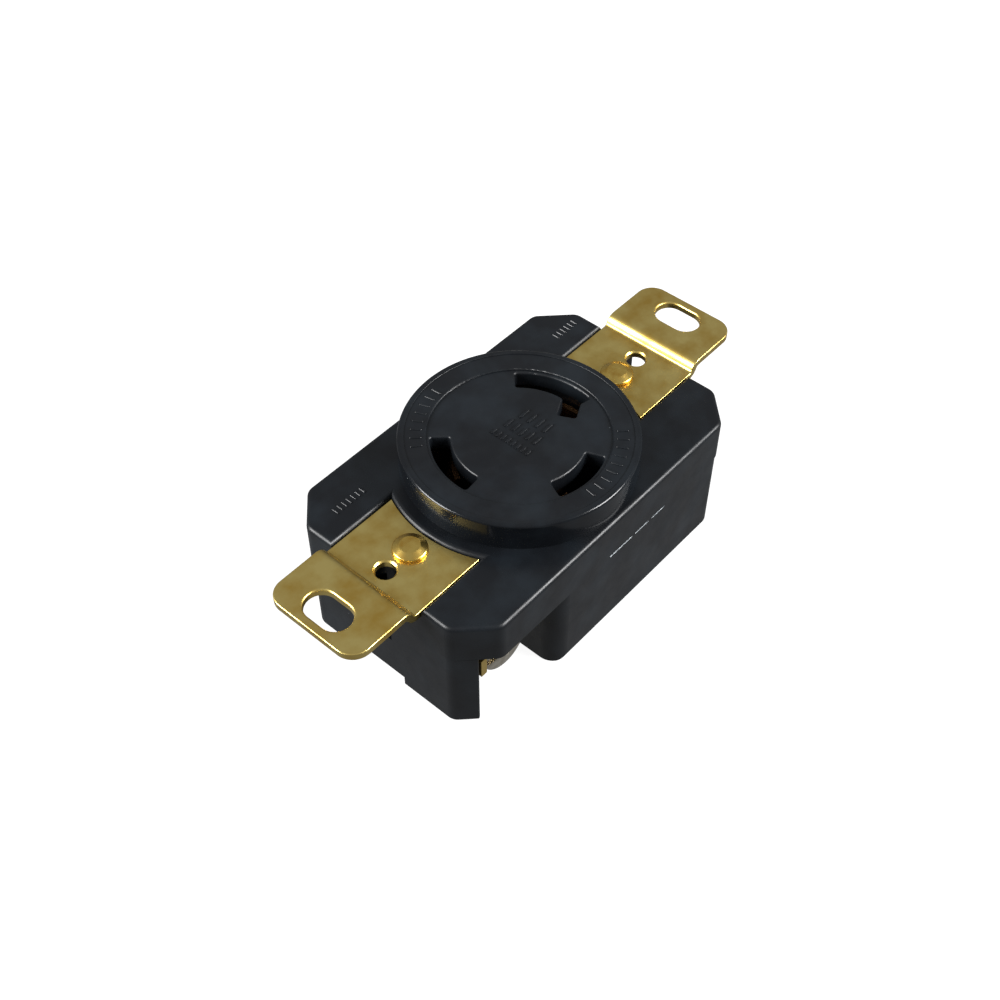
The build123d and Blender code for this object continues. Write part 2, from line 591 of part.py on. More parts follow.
def make_terminal_plate(pole):
    """Tapped brass plate on the chamber's wall, with a wing bent out at its end."""
    start_x = CHAMBER_START_X + 2 * PLATE_GAP
    end_x = CHAMBER_END_X - PLATE_GAP
    with BuildPart() as plate:
        with BuildSketch(Plane.XY.offset(PLATE_BOTTOM_Z)):
            middle = (pole.side_x * (start_x + end_x) / 2, pole.side_y * (CHAMBER_WALL_Y + PLATE_THICKNESS / 2))
            with Locations(middle):
                Rectangle(end_x - start_x, PLATE_THICKNESS)
        extrude(amount=PLATE_TOP_Z - PLATE_BOTTOM_Z)
        wing_x = pole.side_x * (end_x - PLATE_THICKNESS / 2)
        with BuildSketch(Plane.XY.offset(WING_BOTTOM_Z)):
            with Locations((wing_x, pole.side_y * (CHAMBER_WALL_Y + WING_END_Y) / 2)):
                Rectangle(PLATE_THICKNESS, WING_END_Y - CHAMBER_WALL_Y)
        extrude(amount=PLATE_TOP_Z - WING_BOTTOM_Z)
        fillet(upright_edges(plate.part, end_x - PLATE_THICKNESS, PLATE_OUTER_Y), BEND_RADIUS)
        with Locations(terminal_axis(pole, SCREW_X, SCREW_Z).offset(PLATE_OUTER_Y)):
            Hole(TAPPED_RADIUS, depth=PLATE_THICKNESS)
        with Locations(terminal_axis(pole, SMALL_RIVET_X, SMALL_RIVET_Z).offset(PLATE_OUTER_Y)):
            Hole(SMALL_RIVET_RADIUS + SMALL_RIVET_GAP, depth=PLATE_THICKNESS)
        if pole.name == "ground":
            with Locations(terminal_axis(pole, SCREW_X, BOND_RIVET_Z).offset(PLATE_OUTER_Y)):
                Hole(SMALL_RIVET_RADIUS + SMALL_RIVET_GAP, depth=PLATE_THICKNESS)
    write_node(plate.part, f"{pole.name}_terminal_plate")


def make_small_rivet(name, axis_plane, inner_face):
    """Rivet through a terminal plate and the metal behind it, with a head each side."""
    with BuildPart() as rivet:
        with BuildSketch(axis_plane.offset(inner_face)):
            Circle(SMALL_RIVET_RADIUS)
        extrude(amount=PLATE_OUTER_Y - inner_face)
        with BuildSketch(axis_plane.offset(PLATE_OUTER_Y)):
            Circle(SMALL_RIVET_HEAD)
        extrude(amount=SMALL_RIVET_HEAD_HEIGHT, taper=20)
        with BuildSketch(axis_plane.offset(inner_face)):
            Circle(SMALL_RIVET_HEAD)
        extrude(amount=-SMALL_RIVET_HEAD_HEIGHT, taper=20)
    write_node(rivet.part, name)


def make_clamp_plate(pole):
    """Pressure plate under the screw's head, grooved for the two wire places."""
    with BuildPart() as clamp:
        with BuildSketch(terminal_axis(pole, SCREW_X, SCREW_Z).offset(CLAMP_INNER_Y)):
            RectangleRounded(CLAMP_WIDTH, CLAMP_HEIGHT, CLAMP_CORNER)
            Circle(CLAMP_HOLE_RADIUS, mode=Mode.SUBTRACT)
        extrude(amount=CLAMP_THICKNESS)
        groove_y = pole.side_y * (CLAMP_INNER_Y + WIRE_GROOVE_DEPTH - WIRE_GROOVE_RADIUS)
        groove_bottom = SCREW_Z - CLAMP_HEIGHT / 2 - OVERCUT
        with BuildSketch(Plane.XY.offset(groove_bottom)):
            for groove in (-WIRE_GROOVE_X, WIRE_GROOVE_X):
                with Locations((pole.side_x * SCREW_X + groove, groove_y)):
                    Circle(WIRE_GROOVE_RADIUS)
        extrude(amount=CLAMP_HEIGHT + 2 * OVERCUT, mode=Mode.SUBTRACT)
    write_node(clamp.part, f"{pole.name}_clamp_plate")


def screw_outline():
    """Half of the screw's section: distance from its axis, and place along it."""
    crown_y = HEAD_SEAT_Y + SCREW_HEAD_HEIGHT
    points = [(0, SCREW_TIP_Y), (SCREW_RADIUS - SCREW_POINT, SCREW_TIP_Y), (SCREW_RADIUS, SCREW_TIP_Y + SCREW_POINT)]
    for thread in range(SCREW_THREADS):
        root_y = SCREW_TIP_Y + SCREW_POINT + (thread + 0.5) * SCREW_PITCH
        flank = SCREW_RADIUS - SCREW_ROOT_RADIUS
        points += [(SCREW_RADIUS, root_y - flank), (SCREW_ROOT_RADIUS, root_y), (SCREW_RADIUS, root_y + flank)]
    points += [(SCREW_RADIUS, HEAD_SEAT_Y), (SCREW_HEAD_RADIUS, HEAD_SEAT_Y)]
    points += [(SCREW_HEAD_RADIUS, crown_y - SCREW_CROWN), (SCREW_HEAD_RADIUS - SCREW_CROWN, crown_y), (0, crown_y)]
    return points


def make_terminal_screw(pole):
    """Binding-head screw with a driver slot, on the terminal's axis."""
    axis_x = pole.side_x * SCREW_X
    crown_y = HEAD_SEAT_Y + SCREW_HEAD_HEIGHT
    with BuildPart() as screw:
        with BuildSketch(Plane.XY.offset(SCREW_Z)):
            with BuildLine():
                Polyline([(axis_x + r, pole.side_y * y) for r, y in screw_outline()], close=True)
            make_face()
        revolve(axis=Axis((axis_x, 0, SCREW_Z), (0, 1, 0)))
        with BuildSketch(terminal_axis(pole, SCREW_X, SCREW_Z).offset(crown_y)):
            Rectangle(2 * SCREW_HEAD_RADIUS + OVERCUT, DRIVER_SLOT_WIDTH)
        extrude(amount=-DRIVER_SLOT_DEPTH, mode=Mode.SUBTRACT)
    write_node(screw.part, f"{pole.name}_terminal_screw")


os.makedirs("parts", exist_ok=True)
make_face_housing()
make_rear_body()
for half, side in SIDES.items():
    make_strap(f"{half}_strap", side)
    make_strap_rivet(f"{half}_strap_rivet", side)
    make_rivet_washer(f"{half}_rivet_washer", side)
make_ground_bond_strip()
for pole in POLES:
    make_contact_clip(pole)
    make_terminal_plate(pole)
    contact_rivet_axis = terminal_axis(pole, SMALL_RIVET_X, SMALL_RIVET_Z)
    make_small_rivet(f"{pole.name}_contact_rivet", contact_rivet_axis, TAIL_INNER_Y)
    make_clamp_plate(pole)
    make_terminal_screw(pole)
bond_rivet_axis = terminal_axis(POLES[-1], SCREW_X, BOND_RIVET_Z)
make_small_rivet("ground_bond_rivet", bond_rivet_axis, CHAMBER_WALL_Y - STRIP_THICKNESS)
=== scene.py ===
import itertools
import math

import bmesh
import bpy
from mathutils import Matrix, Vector


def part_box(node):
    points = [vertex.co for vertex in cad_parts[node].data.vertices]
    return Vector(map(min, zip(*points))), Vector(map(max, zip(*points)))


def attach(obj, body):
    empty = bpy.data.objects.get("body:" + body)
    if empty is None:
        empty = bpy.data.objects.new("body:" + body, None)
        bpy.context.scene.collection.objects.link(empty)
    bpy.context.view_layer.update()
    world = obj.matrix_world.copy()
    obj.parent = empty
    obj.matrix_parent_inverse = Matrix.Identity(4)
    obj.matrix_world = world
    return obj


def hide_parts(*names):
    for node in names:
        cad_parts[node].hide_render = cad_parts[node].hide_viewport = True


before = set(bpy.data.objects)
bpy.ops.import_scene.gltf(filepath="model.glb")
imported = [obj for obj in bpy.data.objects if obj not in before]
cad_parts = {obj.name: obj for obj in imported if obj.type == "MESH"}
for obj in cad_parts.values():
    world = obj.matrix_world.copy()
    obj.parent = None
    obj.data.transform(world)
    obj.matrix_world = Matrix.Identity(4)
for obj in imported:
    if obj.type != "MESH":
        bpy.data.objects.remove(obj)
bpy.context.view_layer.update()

bl_info = {
    "name": "Locking Receptacle Finish",
    "version": (1, 0, 0),
    "blender": (4, 5, 0),
    "location": "View3D > Sidebar > Receptacle",
    "description": "Finishes a flush-mounting locking receptacle: body, strap, contacts and terminals",
    "category": "Object",
}

MM = 0.001
POLES = ("neutral", "line", "ground")
HALVES = ("lower", "upper")


# ---------------------------------------------------------------- sizes read from the frame

def box_centre(node):
    """Middle of a CAD node's box."""
    low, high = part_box(node)
    return (low + high) / 2


HOUSING_LOW, HOUSING_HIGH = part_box("face_housing")
FACE_LEVEL = HOUSING_HIGH.z - 0.15 * MM  # the ring inside the boss's low rim
DISC_LEVEL = HOUSING_HIGH.z - 0.5 * MM  # the round centre of the face, sunk below that ring
DECK_LEVEL = HOUSING_HIGH.z - 5.1 * MM  # the flat that the boss stands on
BACK_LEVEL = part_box("rear_body")[0].z

# terminal screw, No. 10-32 with a binding head
HEAD_HEIGHT = 2.9 * MM
HEAD_CHAMFER = 0.25 * MM  # under the head's edge
CROWN_START = 0.9 * MM  # from the top of the head down to where its side starts to round over
CROWN_RISE = 0.75 * MM
CROWN_SHRINK = 0.28  # how far the crown draws in, as a part of the head's radius
CROWN_STEPS = 8
CREST_RADIUS = 2.41 * MM
POINT_LENGTH = 0.8 * MM
POINT_RADIUS = 0.62  # radius at the tip, as a part of the shank's
SLOT_DEPTH = 1.3 * MM


# ---------------------------------------------------------------- settings

class BodySettings(bpy.types.PropertyGroup):
    """The two black mouldings."""
    colour: bpy.props.StringProperty(name="Colour", description="Body colour, sRGB hex", default="#0B0D10")
    bloom: bpy.props.StringProperty(
        name="Bloom", description="Paler cloudy patches, sRGB hex", default="#12161A")
    grain: bpy.props.FloatProperty(
        name="Grain", description="Spacing of the moulded grain", default=0.35 * MM, unit="LENGTH")
    mark_height: bpy.props.FloatProperty(
        name="Mark height", description="How far the ring's and deck's raised bars stand up",
        default=0.13 * MM, unit="LENGTH")


class BrassSettings(bpy.types.PropertyGroup):
    """The strap and its rivets."""
    sheet: bpy.props.StringProperty(name="Sheet", description="Rolled brass, sRGB hex", default="#D9C47A")
    tarnish: bpy.props.StringProperty(
        name="Tarnish", description="Handled brass, sRGB hex", default="#B59649")
    rivet: bpy.props.StringProperty(name="Rivet", description="Headed brass, sRGB hex", default="#DEC06A")
    rolling: bpy.props.FloatProperty(
        name="Rolling lines", description="Spacing of the rolling lines", default=0.18 * MM, unit="LENGTH")


class ScrewSettings(bpy.types.PropertyGroup):
    """The three terminal screws."""
    pitch: bpy.props.FloatProperty(
        name="Pitch", description="Thread pitch", default=0.794 * MM, unit="LENGTH")
    thread_depth: bpy.props.FloatProperty(
        name="Thread depth", description="Crest to root", default=0.36 * MM, unit="LENGTH")
    driver_slot: bpy.props.FloatProperty(
        name="Driver slot", description="Width of the driver slot", default=1.2 * MM, unit="LENGTH")
    nickel: bpy.props.StringProperty(name="Nickel", description="Plated steel, sRGB hex", default="#CFC9BC")
    green: bpy.props.StringProperty(name="Green", description="Dyed plating, sRGB hex", default="#1F7A3C")


class StageSettings(bpy.types.PropertyGroup):
    """The camera's place, aim and lens."""
    eye: bpy.props.FloatVectorProperty(
        name="Eye", description="Camera place", default=(-0.11620, -0.09776, 0.16230), subtype="XYZ",
        unit="LENGTH")
    aim: bpy.props.FloatVectorProperty(
        name="Aim", description="Point looked at", default=(-0.00892, -0.00381, -0.00027), subtype="XYZ",
        unit="LENGTH")
    lens: bpy.props.FloatProperty(name="Lens", description="Focal length in millimetres", default=50.785)


# ---------------------------------------------------------------- materials

def linear(hex_colour):
    """An sRGB hex colour as linear RGBA."""
    channels = [int(hex_colour[i:i + 2], 16) / 255 for i in (1, 3, 5)]
    return [c / 12.92 if c <= 0.04045 else ((c + 0.055) / 1.055) ** 2.4 for c in channels] + [1.0]


def add_node(tree, kind, settings=None, links=None):
    """Adds a shader node, sets its inputs or properties, and links its inputs to the given sockets."""
    made = tree.nodes.new(kind)
    for key, value in (settings or {}).items():
        if isinstance(key, str) and hasattr(made, key):
            setattr(made, key, value)
        else:
            made.inputs[key].default_value = value
    for key, socket in (links or {}).items():
        tree.links.new(socket, made.inputs[key])
    return made


def new_material(name):
    """An empty node material, its tree and its shader."""
    material = bpy.data.materials.new(name)
    material.use_nodes = True
    tree = material.node_tree
    tree.nodes.clear()
    shader = tree.nodes.new("ShaderNodeBsdfPrincipled")
    output = tree.nodes.new("ShaderNodeOutputMaterial")
    tree.links.new(shader.outputs["BSDF"], output.inputs["Surface"])
    return material, tree, shader


def ramp(tree, source, low, high, to_low, to_high):
    """A socket carried from one range to another, held at its ends."""
    return add_node(
        tree, "ShaderNodeMapRange",
        {"From Min": low, "From Max": high, "To Min": to_low, "To Max": to_high},
        {"Value": source}).outputs["Result"]


def noise(tree, place, size, detail=2.0, stretch=(1, 1, 1)):
    """Noise whose blotches are about size metres across, drawn out along the axes with a small stretch."""
    scaled = add_node(tree, "ShaderNodeMapping", {"Scale": [s / size for s in stretch]}, {"Vector": place})
    return add_node(
        tree, "ShaderNodeTexNoise", {"Scale": 1.0, "Detail": detail},
        {"Vector": scaled.outputs["Vector"]}).outputs["Fac"]


def mixed(tree, factor, first, second):
    """Two colours, or a colour socket and a colour, mixed by a socket."""
    made = add_node(tree, "ShaderNodeMix", {"data_type": "RGBA"}, {0: factor})
    for key, colour in ((6, first), (7, second)):
        if isinstance(colour, bpy.types.NodeSocket):
            tree.links.new(colour, made.inputs[key])
        else:
            made.inputs[key].default_value = colour
    return made.outputs[2]


def moulded_thermoset():
    """Black phenolic, compression moulded: satin, finely grained faces with cloudy bloom and a few
    specks of dust, and a polished wall round the boss where the mould's cavity was turned."""
    settings = bpy.context.scene.receptacle_body
    material, tree, shader = new_material("Phenolic, black, compression moulded")
    place = add_node(tree, "ShaderNodeTexCoord").outputs["Object"]
    bloom = ramp(tree, noise(tree, place, 7 * MM, 4), 0.42, 0.68, 0.0, 1.0)
    base = mixed(tree, bloom, linear(settings.colour), linear(settings.bloom))

    # dust: one speck in each cell of about 5 mm, most of them too small to see
    dust_cells = add_node(tree, "ShaderNodeTexVoronoi", {"Scale": 1 / (5.5 * MM)}, {"Vector": place})
    speck = ramp(tree, dust_cells.outputs["Distance"], 0.012, 0.022, 1.0, 0.0)
    speck_here = add_node(
        tree, "ShaderNodeMath", {"operation": "MULTIPLY"},
        {0: speck, 1: ramp(tree, noise(tree, place, 13 * MM, 0), 0.52, 0.56, 0.0, 0.5)})
    base = mixed(tree, speck_here.outputs[0], base, linear("#9AA3AB"))
    tree.links.new(base, shader.inputs["Base Color"])

    # the polished wall: outside the rim's rounded edge, fading in over the deck's level, so the deck
    # itself is half polished and the sides below it are not
    axes = add_node(tree, "ShaderNodeSeparateXYZ", None, {"Vector": place})
    flat = add_node(tree, "ShaderNodeCombineXYZ", None, {0: axes.outputs[0], 1: axes.outputs[1]})
    radius = add_node(tree, "ShaderNodeVectorMath", {"operation": "LENGTH"}, {0: flat.outputs[0]})
    on_wall = ramp(tree, radius.outputs["Value"], 18.3 * MM, 18.9 * MM, 0.0, 1.0)
    above_deck = ramp(tree, axes.outputs[2], -0.25 * MM, 0.1 * MM, 0.0, 1.0)
    wall = add_node(tree, "ShaderNodeMath", {"operation": "MULTIPLY"}, {0: on_wall, 1: above_deck}).outputs[0]

    handled = ramp(tree, noise(tree, place, 2.6 * MM, 5), 0.3, 0.7, 0.3, 0.44)
    roughness = add_node(
        tree, "ShaderNodeMix", {"data_type": "FLOAT", 3: 0.17}, {0: wall, 2: handled}).outputs[0]
    tree.links.new(roughness, shader.inputs["Roughness"])
    shader.inputs["IOR"].default_value = 1.56
    shader.inputs["Specular IOR Level"].default_value = 0.22

    grain = noise(tree, place, settings.grain, 3)
    rippled = noise(tree, place, 1.9 * MM, 2)
    height = add_node(
        tree, "ShaderNodeMath", {"operation": "MULTIPLY_ADD", 1: 0.35}, {0: rippled, 2: grain}).outputs[0]
    strength = ramp(tree, wall, 0.0, 1.0, 0.32, 0.02)
    bump = add_node(
        tree, "ShaderNodeBump", {"Distance": 0.03 * MM}, {"Height": height, "Strength": strength})
    tree.links.new(bump.outputs["Normal"], shader.inputs["Normal"])
    return material


def painted_glint_flash():
    """Phenolic flash with a painted glint: the black resin is coloured pale grey in soft patches, a painted
    highlight for the light the parting line catches.
    """
    material, tree, shader = new_material("Phenolic flash, painted glint")
    place = add_node(tree, "ShaderNodeTexCoord").outputs["Object"]
    glint_patches = ramp(tree, noise(tree, place, 0.8 * MM, 3), 0.35, 0.65, 0.0, 1.0)
    # painted highlight: pale greys in place of the black resin, for the glint along the parting line
    tree.links.new(mixed(tree, glint_patches, linear("#5E6468"), linear("#A9AFB3")), shader.inputs["Base Color"])
    tree.links.new(ramp(tree, glint_patches, 0.0, 1.0, 0.4, 0.6), shader.inputs["Roughness"])
    return material


def worked_metal(name, clean, handled, smooth, dull, line_size, stretch, patch=4.0, bump_strength=0.12):
    """A bare or plated metal: two tones in soft patches, and fine lines left by how it was worked.
    stretch is small along the lines. Sizes are in millimetres."""
    material, tree, shader = new_material(name)
    place = add_node(tree, "ShaderNodeTexCoord").outputs["Object"]
    patches = ramp(tree, noise(tree, place, patch * MM, 5), 0.35, 0.7, 0.0, 1.0)
    tree.links.new(mixed(tree, patches, linear(clean), linear(handled)), shader.inputs["Base Color"])
    lines = noise(tree, place, line_size * MM, 3, stretch)
    worn = add_node(
        tree, "ShaderNodeMath", {"operation": "MULTIPLY_ADD", 1: 0.45}, {0: lines, 2: patches}).outputs[0]
    tree.links.new(ramp(tree, worn, 0.0, 1.4, smooth, dull), shader.inputs["Roughness"])
    shader.inputs["Metallic"].default_value = 1.0
    bump = add_node(
        tree, "ShaderNodeBump", {"Distance": 0.01 * MM, "Strength": bump_strength}, {"Height": lines})
    tree.links.new(bump.outputs["Normal"], shader.inputs["Normal"])
    return material


def rolled_brass():
    """Cartridge brass sheet, rolled and pressed: olive gold, satin, with faint lines along the strip."""
    settings = bpy.context.scene.receptacle_brass
    spacing = settings.rolling / MM
    return worked_metal(
        "Cartridge brass sheet, rolled", settings.sheet, settings.tarnish, 0.27, 0.40, spacing, (0.04, 1, 1))


def headed_brass():
    """Brass wire, cold headed: yellower and shinier than the sheet, dimpled by the heading tool."""
    settings = bpy.context.scene.receptacle_brass
    return worked_metal(
        "Brass wire, cold headed", settings.rivet, "#BD9440", 0.18, 0.34, 1.1, (1, 1, 1), 1.6, 0.6)


def pressed_brass():
    """Half-hard brass, pressed: the terminal plates and bond strip, duller than the strap."""
    return worked_metal("Half-hard brass, pressed", "#D8BE6C", "#BC9A48", 0.26, 0.42, 0.2, (1, 0.05, 1))


def spring_bronze():
    """Phosphor bronze, spring temper: pinkish brown, with lines round the bend."""
    return worked_metal("Phosphor bronze, spring temper", "#A9805A", "#6E4E34", 0.34, 0.5, 0.2, (1, 1, 0.05))


def nickel_plate():
    """Steel, bright nickel plated: warm silver, nearly mirror smooth, with a little spotting."""
    nickel = bpy.context.scene.receptacle_screws.nickel
    return worked_metal(
        "Steel, bright nickel plated", nickel, "#A79F8D", 0.12, 0.28, 0.5, (1, 0.2, 1), 1.5, 0.2)


def turned_brass():
    """Free-cutting brass, turned: bright yellow, with fine turning rings."""
    return worked_metal(
        "Free-cutting brass, turned", "#E0C066", "#C7A24A", 0.16, 0.3, 0.25, (1, 0.2, 1), 1.8, 0.2)


def green_plate():
    """Steel, plated and dyed green: a coloured metal sheen that marks the ground terminal."""
    green = bpy.context.scene.receptacle_screws.green
    return worked_metal(
        "Steel, plated and dyed green", green, "#145A2B", 0.2, 0.36, 0.4, (1, 0.2, 1), 1.8, 0.2)


def paint(names, material):
    """Gives CAD nodes or pieces one material."""
    for name in names:
        mesh = bpy.data.objects[name].data
        mesh.materials.clear()
        mesh.materials.append(material)


# ---------------------------------------------------------------- meshes

def mesh_object(name, mesh, body):
    """Links a finished mesh as a piece that rides on a body."""
    piece = bpy.data.objects.new(name, mesh)
    bpy.context.scene.collection.objects.link(piece)
    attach(piece, body)
    return piece


def rounded_bar(target, centre, along, length, width, height, out=Vector((0, 0, 1))):
    """Adds a raised bar with round ends and a chamfered top to a bmesh, standing out of a flat surface."""
    across = out.cross(along)
    outline = []
    for end, start in ((1, -90), (-1, 90)):
        for step in range(7):
            angle = math.radians(start + step * 30)
            offset = along * (end * (length - width) / 2)
            outline.append((offset, along * math.cos(angle) + across * math.sin(angle)))
    rings = []
    for shrink, rise in ((1.0, -0.2), (1.0, 0.5), (0.72, 1.0)):
        ring = [
            target.verts.new(centre + offset + spoke * (width / 2 * shrink) + out * (height * rise))
            for offset, spoke in outline
        ]
        rings.append(ring)
    count = len(outline)
    for lower, upper in zip(rings, rings[1:]):
        for i in range(count):
            target.faces.new((lower[i], lower[(i + 1) % count], upper[(i + 1) % count], upper[i]))
    target.faces.new(rings[-1])
    target.faces.new(rings[0][::-1])


def screw_mesh(node, settings):
    """A binding-head screw on its CAD node's axis: a cut helical thread and a crowned, slotted head."""
    low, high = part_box(node)
    centre = box_centre(node)
    side = 1 if centre.y > 0 else -1
    tip, crown = sorted((abs(low.y), abs(high.y)))
    head_radius = (high.x - low.x) / 2
    seat = crown - HEAD_HEIGHT
    around, per_turn = 48, 12
    middle = Vector((centre.x, 0, centre.z))

    def point(radius, angle, y):
        return middle + Vector((radius * math.cos(angle), side * y, -side * radius * math.sin(angle)))

    made = bmesh.new()
    rings = []
    steps = int((seat - tip) / settings.pitch * per_turn)
    for step in range(steps + 1):
        y = tip + (seat - tip) * step / steps
        taper = min(1.0, POINT_RADIUS + (1 - POINT_RADIUS) * (y - tip) / POINT_LENGTH)
        ring = []
        for spoke in range(around):
            turn = spoke / around
            phase = (y / settings.pitch - turn) % 1.0
            radius = (CREST_RADIUS - settings.thread_depth * abs(2 * phase - 1)) * taper
            ring.append(made.verts.new(point(radius, turn * math.tau, y)))
        rings.append(ring)
    head_profile = [(CREST_RADIUS, seat), (head_radius - HEAD_CHAMFER, seat)]
    head_profile += [(head_radius, seat + HEAD_CHAMFER), (head_radius, crown - CROWN_START)]
    for step in range(1, CROWN_STEPS + 1):
        turn = step / CROWN_STEPS * math.pi / 2
        radius = head_radius * (1 - CROWN_SHRINK + CROWN_SHRINK * math.cos(turn))
        head_profile.append((radius, crown - CROWN_START + CROWN_RISE * math.sin(turn)))
    head_profile += [(head_radius * 0.45, crown - 0.05 * MM), (head_radius * 0.15, crown)]
    for radius, y in head_profile:
        rings.append([made.verts.new(point(radius, k / around * math.tau, y)) for k in range(around)])
    for lower, upper in zip(rings, rings[1:]):
        for k in range(around):
            made.faces.new((lower[k], lower[(k + 1) % around], upper[(k + 1) % around], upper[k]))
    made.faces.new(rings[0][::-1])
    made.faces.new(rings[-1])
    bmesh.ops.recalc_face_normals(made, faces=made.faces)
    mesh = bpy.data.meshes.new(node.replace("terminal_", "") + "_mesh")
    made.to_mesh(mesh)
    made.free()
    return mesh, middle, side, crown, head_radius


def cut_away(piece, cutters):
    """Cuts closed box meshes out of a piece and keeps the result as its mesh."""
    made = bmesh.new()
    for centre, half_x, half_y, half_z, taper in cutters:
        corners = {}
        for sx, sy, sz in itertools.product((-1, 1), repeat=3):
            narrow = taper if sy * centre.y < 0 else 1.0
            corner = centre + Vector((sx * half_x * narrow, sy * half_y, sz * half_z * narrow))
            corners[sx, sy, sz] = made.verts.new(corner)
        for axis, end in itertools.product(range(3), (-1, 1)):
            around = []
            for first, second in ((-1, -1), (1, -1), (1, 1), (-1, 1)):
                place = [first, second]
                place.insert(axis, end)
                around.append(corners[tuple(place)])
            made.faces.new(around)
    bmesh.ops.recalc_face_normals(made, faces=made.faces)
    mesh = bpy.data.meshes.new("cutter")
    made.to_mesh(mesh)
    made.free()
    cutter = bpy.data.objects.new("cutter", mesh)
    bpy.context.scene.collection.objects.link(cutter)
    boolean = piece.modifiers.new("cut", "BOOLEAN")
    boolean.operation = "DIFFERENCE"
    boolean.solver = "EXACT"
    boolean.use_self = True
    boolean.object = cutter
    bpy.context.view_layer.update()
    graph = bpy.context.evaluated_depsgraph_get()
    cut = bpy.data.meshes.new_from_object(piece.evaluated_get(graph))
    piece.modifiers.clear()
    piece.data = cut
    bpy.data.objects.remove(cutter)
    return piece


# ---------------------------------------------------------------- operators

class FinishBody(bpy.types.Operator):
    """Give the face housing and rear body their moulded surface"""
    bl_idname = "receptacle.finish_body"
    bl_label = "Finish body"

    def execute(self, context):
        paint(("face_housing", "rear_body"), moulded_thermoset())
        return {"FINISHED"}


class FinishStrap(bpy.types.Operator):
    """Give the mounting strap, its rivets and its washers their brass"""
    bl_idname = "receptacle.finish_strap"
    bl_label = "Finish strap"

    def execute(self, context):
        paint([f"{half}_strap" for half in HALVES], rolled_brass())
        rivets = [f"{half}_strap_rivet" for half in HALVES]
        washers = [f"{half}_rivet_washer" for half in HALVES]
        paint(rivets + washers, headed_brass())
        return {"FINISHED"}


class FinishContacts(bpy.types.Operator):
    """Give the contacts, terminal plates, bond strip and small rivets their metal"""
    bl_idname = "receptacle.finish_contacts"
    bl_label = "Finish contacts"

    def execute(self, context):
        paint([f"{pole}_contact_clip" for pole in POLES], spring_bronze())
        paint([f"{pole}_terminal_plate" for pole in POLES] + ["ground_bond_strip"], pressed_brass())
        headed = bpy.data.materials["Brass wire, cold headed"]
        paint([f"{pole}_contact_rivet" for pole in POLES] + ["ground_bond_rivet"], headed)
        return {"FINISHED"}


class BuildScrews(bpy.types.Operator):
    """Build the terminal screws with a cut thread and a combination driver slot, and finish the clamps"""
    bl_idname = "receptacle.build_screws"
    bl_label = "Build terminal screws"

    def execute(self, context):
        settings = context.scene.receptacle_screws
        nickel = nickel_plate()
        finishes = {
            "neutral": (nickel, "plated_steel"),
            "line": (turned_brass(), "screw_brass"),
            "ground": (green_plate(), "green_screw"),
        }
        paint([f"{pole}_clamp_plate" for pole in POLES], nickel)
        for pole, (material, slot) in finishes.items():
            node = f"{pole}_terminal_screw"
            mesh, middle, side, crown, head_radius = screw_mesh(node, settings)
            piece = mesh_object(f"{pole}_screw", mesh, f"{pole}_screw")
            slot_centre = middle + Vector((0, side * crown, 0))
            # each cutter: its centre, its half sizes along x, y and z, and how far it narrows inwards
            long_way = (slot_centre, head_radius * 1.2, SLOT_DEPTH, settings.driver_slot / 2, 1.0)
            cross_way = (slot_centre, settings.driver_slot * 0.4, SLOT_DEPTH * 0.9, head_radius * 0.52, 0.55)
            cut_away(piece, [long_way, cross_way])
            piece.data.shade_smooth()
            piece.data.materials.clear()
            piece.data.materials.append(material)
            soften = piece.modifiers.new("sharp creases", "EDGE_SPLIT")
            soften.split_angle = math.radians(32)
            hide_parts(node)
        return {"FINISHED"}


class BuildMarks(bpy.types.Operator):
    """Build plain raised bars where a real moulding carries raised characters"""
    bl_idname = "receptacle.build_marks"
    bl_label = "Build raised marks"

    def execute(self, context):
        settings = context.scene.receptacle_body
        made = bmesh.new()
        # rows of upright bars across the disc: place along x, number, length and pitch
        tall = 2 * settings.mark_height
        for x, count, size, pitch in ((4.0, 4, 2.3, 1.6), (0.9, 5, 2.0, 1.45), (-2.0, 8, 1.3, 1.0)):
            for i in range(count):
                y = ((count - 1) / 2 - i) * pitch
                centre = Vector((x * MM, y * MM, DISC_LEVEL))
                rounded_bar(made, centre, Vector((1, 0, 0)), size * MM, 0.42 * MM, tall)
        # ticks round the ring outside the slots
        for start, count in ((262, 9), (96, 8)):
            for i in range(count):
                angle = math.radians(start + i * 6.4)
                out = Vector((math.cos(angle), math.sin(angle), 0))
                centre = out * (16.1 * MM) + Vector((0, 0, FACE_LEVEL))
                rounded_bar(made, centre, out, 1.9 * MM, 0.4 * MM, settings.mark_height)
        # a short row on the deck beside each strap plate, on the far side of the boss
        for x, count in ((-27.2, 7), (25.2, 6)):
            for i in range(count):
                centre = Vector(((x + 0.95 * i) * MM, 13.4 * MM, DECK_LEVEL))
                rounded_bar(made, centre, Vector((0, 1, 0)), 1.5 * MM, 0.36 * MM, settings.mark_height)
        mesh = bpy.data.meshes.new("face_marks_mesh")
        made.to_mesh(mesh)
        made.free()
        mesh_object("face_marks", mesh, "root")
        mesh.materials.append(bpy.data.materials["Phenolic, black, compression moulded"])
        return {"FINISHED"}


